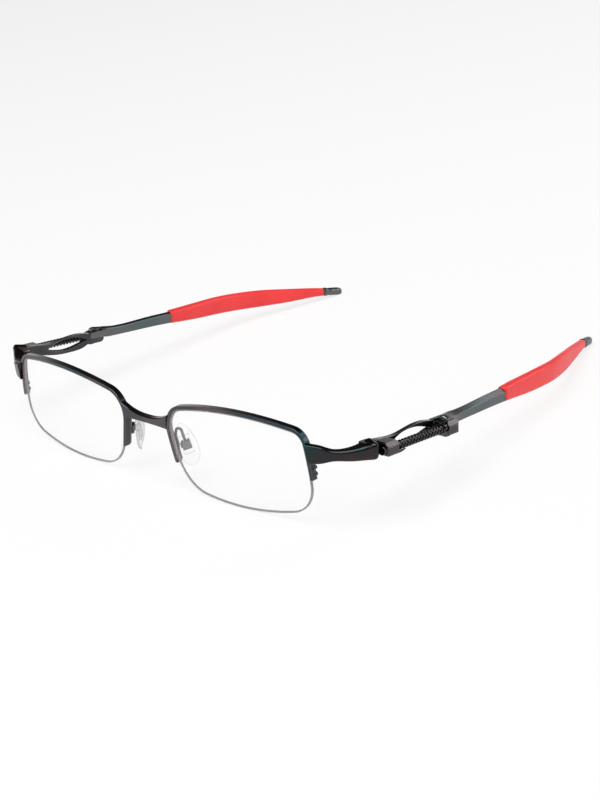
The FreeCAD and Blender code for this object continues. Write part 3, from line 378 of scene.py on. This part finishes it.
def skin(name, rings):
    """A smooth closed mesh through rings of points, an array of ring, point round it, and x y z.

    Each face joins two neighbours on one ring to the same two on the next, and each end is one face.
    """
    count, around = rings.shape[:2]
    here = (np.arange(count - 1)[:, None] * around + np.arange(around)[None, :]).ravel()
    turn = (np.arange(around) + 1) % around
    beside = (np.arange(count - 1)[:, None] * around + turn[None, :]).ravel()
    faces = np.stack([here, beside, beside + around, here + around], 1).tolist()
    faces += [list(range(around))[::-1], list(range((count - 1) * around, count * around))]
    data = bpy.data.meshes.new(name)
    data.from_pydata(rings.reshape(-1, 3).tolist(), [], faces)
    data.shade_smooth()
    made = bpy.data.objects.new(name, data)
    bpy.context.collection.objects.link(made)
    return made


def both_sides(name, rings, material, body, node):
    """The left piece and its mirror image, each on its body and in place of its CAD node."""
    pieces = []
    for side, turned in (("left", rings), ("right", rings[:, ::-1] * (-1, 1, 1))):
        made = skin("%s_%s_shape" % (name, side), turned)
        made.data.materials.append(material)
        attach(made, "%s_%s" % (body, side))
        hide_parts("%s_%s" % (node, side))
        pieces.append(made)
    return pieces


temple_up = np.array(joint("temple_fold_left")["axis"])
temple_back = np.array(joint("temple_flex_left")["axis"])
temple_out = np.cross(temple_back, temple_up)
temple_axes = np.stack([temple_out, temple_back, temple_up])
temple_origin = np.array(joint("temple_fold_left")["pos_m"]) - np.array(hinge_axis_spot) @ temple_axes

# The wire's middle is a helix: a circle that moves back by the pitch at each turn. Each ring of the
# wire is a circle across it, from the helix's outward direction and the temple's length.
angle = np.linspace(0, 2 * np.pi * coil_turns, coil_turns * coil_steps + 1)
out_and_up = np.stack([np.cos(angle), 0 * angle, np.sin(angle)], 1)
along = np.stack([0 * angle, coil_pitch * angle / (2 * np.pi), 0 * angle], 1)
middle = np.array(coil_place) + coil_radius * out_and_up + along
wire_angle = np.linspace(0, 2 * np.pi, coil_around, endpoint=False)[None, :, None]
wire = middle[:, None] + coil_wire_radius * (
    np.cos(wire_angle) * out_and_up[:, None] + np.sin(wire_angle) * np.array([0.0, 1.0, 0.0]))
coil_metal = plated("coil_black", coil_black, coil_tints, coil_rough, coil_edge_highlight_share)
dress(["rod_nut"], coil_metal)
coil = temple_origin + wire @ temple_axes
coils = both_sides("coil", coil, coil_metal, "temple", "coil_spring")
for made, side, mirror in zip(coils, ("left", "right"), ((1, 1, 1), (-1, 1, 1))):
    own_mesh(made)


# Ear socks: a soft red rubber sleeve over the rear of each spar. It is deepest where it bends down
# over the ear, thins towards the tip, and has soft rounded ends.
sock_start = 0.0535
sock_end = 0.1095
sock_corner = 0.00105
sock_end_round = 0.0005
sock_round_steps = 7
sock_rings = 90
sock_around = 40
millimetre = 0.001
# Station, then outboard and up position of the middle, height and thickness, all in millimetres
sock_rows = np.array([
    (45.9, -0.24, 1.40, 3.90, 2.92), (53.5, -0.78, 1.47, 4.16, 2.99), (58.9, -1.23, 1.54, 4.70, 2.97),
    (65.0, -1.51, 1.64, 5.23, 2.90), (71.9, -1.97, 1.85, 5.61, 2.73), (78.9, -3.02, 1.92, 5.70, 2.55),
    (87.9, -5.67, 1.93, 5.51, 2.42), (96.9, -9.16, 1.80, 4.56, 2.35), (105.6, -12.48, 1.78, 3.08, 2.37),
    (109.6, -13.99, 1.60, 2.57, 2.36), (116.0, -15.84, 1.11, 2.57, 2.28)]) * millimetre
sock_red = (0.92, 0.042, 0.042, 1)
sock_deep_red = (0.86, 0.032, 0.034, 1)
sock_rough = 0.42
mottle_scale = 90.0
mottle_detail = 3.0
mottle_place_shares = (0.35, 0.65)
skin_grain_scale = 1800.0
skin_grain_detail = 2.0
skin_grain_height = 0.00001
skin_grain_strength = 0.3


def smooth_rows(rows, stations):
    """Rows at the stations, on cubic curves through a table whose first column is the station.

    At each row of the table the curve's slope is that of the line between the rows on either side.
    """
    i = np.clip(np.searchsorted(rows[:, 0], stations, "right") - 1, 1, len(rows) - 3)
    before, one, two, after = (rows[i + k] for k in (-1, 0, 1, 2))
    width = (two - one)[:, :1]
    t = (stations[:, None] - one[:, :1]) / width
    m1 = (two - before) / (two - before)[:, :1] * width
    m2 = (after - one) / (after - one)[:, :1] * width
    return ((2 * t**3 - 3 * t**2 + 1) * one + (t**3 - 2 * t**2 + t) * m1
            + (3 * t**2 - 2 * t**3) * two + (t**3 - t**2) * m2)


def rounded_bar(rows, shrink, corner, around):
    """Rings of a rounded bar along the temple; shrink takes each ring in from its full size.

    A ring is a circle of the corner's radius, its quarters moved out to the corners of a rectangle.
    """
    centre = rows[:, [1, 0, 2]]
    heading = np.gradient(centre, axis=0) * (1, 1, 0)
    heading = heading / np.linalg.norm(heading, axis=1, keepdims=True)
    across = np.stack([heading[:, 1], -heading[:, 0], 0 * heading[:, 0]], 1)
    half_tall = rows[:, 3] / 2 - shrink
    half_wide = rows[:, 4] / 2 - shrink
    radius = np.minimum(corner, np.minimum(half_tall, half_wide))
    turn = np.linspace(0, 2 * np.pi, around, endpoint=False) + np.pi / around
    side = np.sign(np.cos(turn)) * (half_wide - radius)[:, None] + radius[:, None] * np.cos(turn)
    rise = np.sign(np.sin(turn)) * (half_tall - radius)[:, None] + radius[:, None] * np.sin(turn)
    upright = np.array([0.0, 0.0, 1.0])
    return centre[:, None] + side[:, :, None] * across[:, None] + rise[:, :, None] * upright


def rubber(name, colour, deep):
    """Matt rubber: a slow mottle between two colours, and a fine grain."""
    made = bpy.data.materials.new(name)
    start = empty_tree(made)
    spot = start.node("ShaderNodeTexCoord", {}, {}, "Object")
    slow = start.node("ShaderNodeTexNoise", {}, {
        "Vector": spot, "Scale": mottle_scale, "Detail": mottle_detail})
    stops = list(zip(mottle_place_shares, (deep, colour)))
    tint = start.node("ShaderNodeValToRGB", {"stops": stops}, {"Fac": slow})
    fine = start.node("ShaderNodeTexNoise", {}, {
        "Vector": spot, "Scale": skin_grain_scale, "Detail": skin_grain_detail})
    bump = start.node("ShaderNodeBump", {}, {
        "Strength": skin_grain_strength, "Distance": skin_grain_height, "Height": fine})
    shader = start.node("ShaderNodeBsdfPrincipled", {}, {
        "Base Color": tint, "Roughness": sock_rough, "Normal": bump})
    start.node("ShaderNodeOutputMaterial", {}, {"Surface": shader})
    return made


# Rings crowd at both ends, where a quarter circle rounds the sleeve's rim, and are even between.
quarter = np.linspace(0, np.pi / 2, sock_round_steps)
ease = sock_end_round * (1 - np.cos(quarter))
inset = sock_end_round * (1 - np.sin(quarter))
even = np.linspace(sock_start, sock_end, sock_rings)[2:-2]
stations = np.concatenate([sock_start + ease, even, (sock_end - ease)[::-1]])
shrink = np.concatenate([inset, np.zeros(len(even)), inset[::-1]])
sock = rounded_bar(smooth_rows(sock_rows, stations), shrink, sock_corner, sock_around)
red_rubber = rubber("red_rubber", sock_red, sock_deep_red)
sock = temple_origin + sock @ temple_axes
both_sides("sock", sock, red_rubber, "temple", "ear_sock")


# Nose pads. Each is a clear silicone drop, moulded over a stiff core that clips into the pad box. It
# is crowned towards the nose, with soft edges and a flat back.
pad_turn, pad_rake, pad_splay = np.radians([38.0, 6.5, 14.0])
pad_pivot_spot = (0.0, -0.0007, -0.0023)
pad_length = 0.0126
pad_width = 0.007
pad_top_share = 0.62
pad_half_thickness = 0.001
pad_crown_radius = 0.011
pad_edge_level = -0.00035
pad_least_wall = 0.0001
pad_around = 64
pad_front_shares = np.array([0.05, 0.3, 0.55, 0.75, 0.88, 0.96, 1.0])
pad_back_shares = np.array([0.99, 0.94, 0.85, 0.5, 0.05])
pad_back_depth_shares = np.array([0.4, 0.75, 0.95, 1.0, 1.0])
# Grey painted in at the outline of the pads: painted shade for the refraction at their edges.
pad_outline_shade = (0.30, 0.29, 0.28, 1)
pad_rough = 0.12
pad_outline_shade_shares = ((0.3, 0.02), (0.85, 0.6))


def clear_silicone(name, colour, outline_shade_shares):
    """Nearly invisible where it is seen straight through, with grey painted in towards its outline as
    painted shade for the refraction at its edges.
    """
    made = bpy.data.materials.new(name)
    start = empty_tree(made)
    facing = start.node("ShaderNodeLayerWeight", {}, {"Blend": 0.5}, "Facing")
    stops = [(place, (value, value, value, 1)) for place, value in outline_shade_shares]
    outline_shade = start.node("ShaderNodeValToRGB", {"stops": stops}, {"Fac": facing})
    shader = start.node("ShaderNodeBsdfPrincipled", {}, {
        "Base Color": colour, "Roughness": pad_rough, "Alpha": outline_shade})
    start.node("ShaderNodeOutputMaterial", {}, {"Surface": shader})
    return made


facing = np.array([
    -np.cos(pad_turn) * np.cos(pad_rake), np.sin(pad_turn) * np.cos(pad_rake), -np.sin(pad_rake)])
down = np.array([np.sin(pad_splay), 0, -np.cos(pad_splay)])
down = down - facing * (down @ facing)
down = down / np.linalg.norm(down)
pad_axes = np.stack([np.cross(down, facing), down, facing])
pad_origin = np.array(joint("pad_rock_left")["pos_m"]) - np.array(pad_pivot_spot) @ pad_axes

# The outline is an ellipse, made narrower towards its top. Rings of it, from the middle out and back
# in, lie on a sphere in front, then step down to the flat back.
spin = np.linspace(0, 2 * np.pi, pad_around, endpoint=False)
blend = (1 + np.sin(spin)) / 2
half_wide = pad_width / 2 * (pad_top_share + (1 - pad_top_share) * blend)
drop = np.stack([half_wide * np.cos(spin), pad_length / 2 * np.sin(spin)], 1)
flat = np.concatenate([pad_front_shares, pad_back_shares])[:, None, None] * drop
far = np.linalg.norm(flat, axis=2)
crown = pad_half_thickness - (pad_crown_radius - np.sqrt(pad_crown_radius**2 - far**2))
crown = np.maximum(crown, pad_edge_level)
crown, crown_behind = np.split(crown, [len(pad_front_shares)])
back_level = pad_back_depth_shares[:, None] * -pad_half_thickness * np.ones(pad_around)
levels = np.concatenate([crown, np.minimum(back_level, crown_behind - pad_least_wall)])
pad = np.concatenate([flat, levels[:, :, None]], 2)[:, ::-1]
pad_silicone = clear_silicone("pad_silicone", pad_outline_shade, pad_outline_shade_shares)
dress(["pad_core"], pad_silicone)
pad = pad_origin + pad @ pad_axes
pads = both_sides("pad", pad, pad_silicone, "pad", "nose_pad")
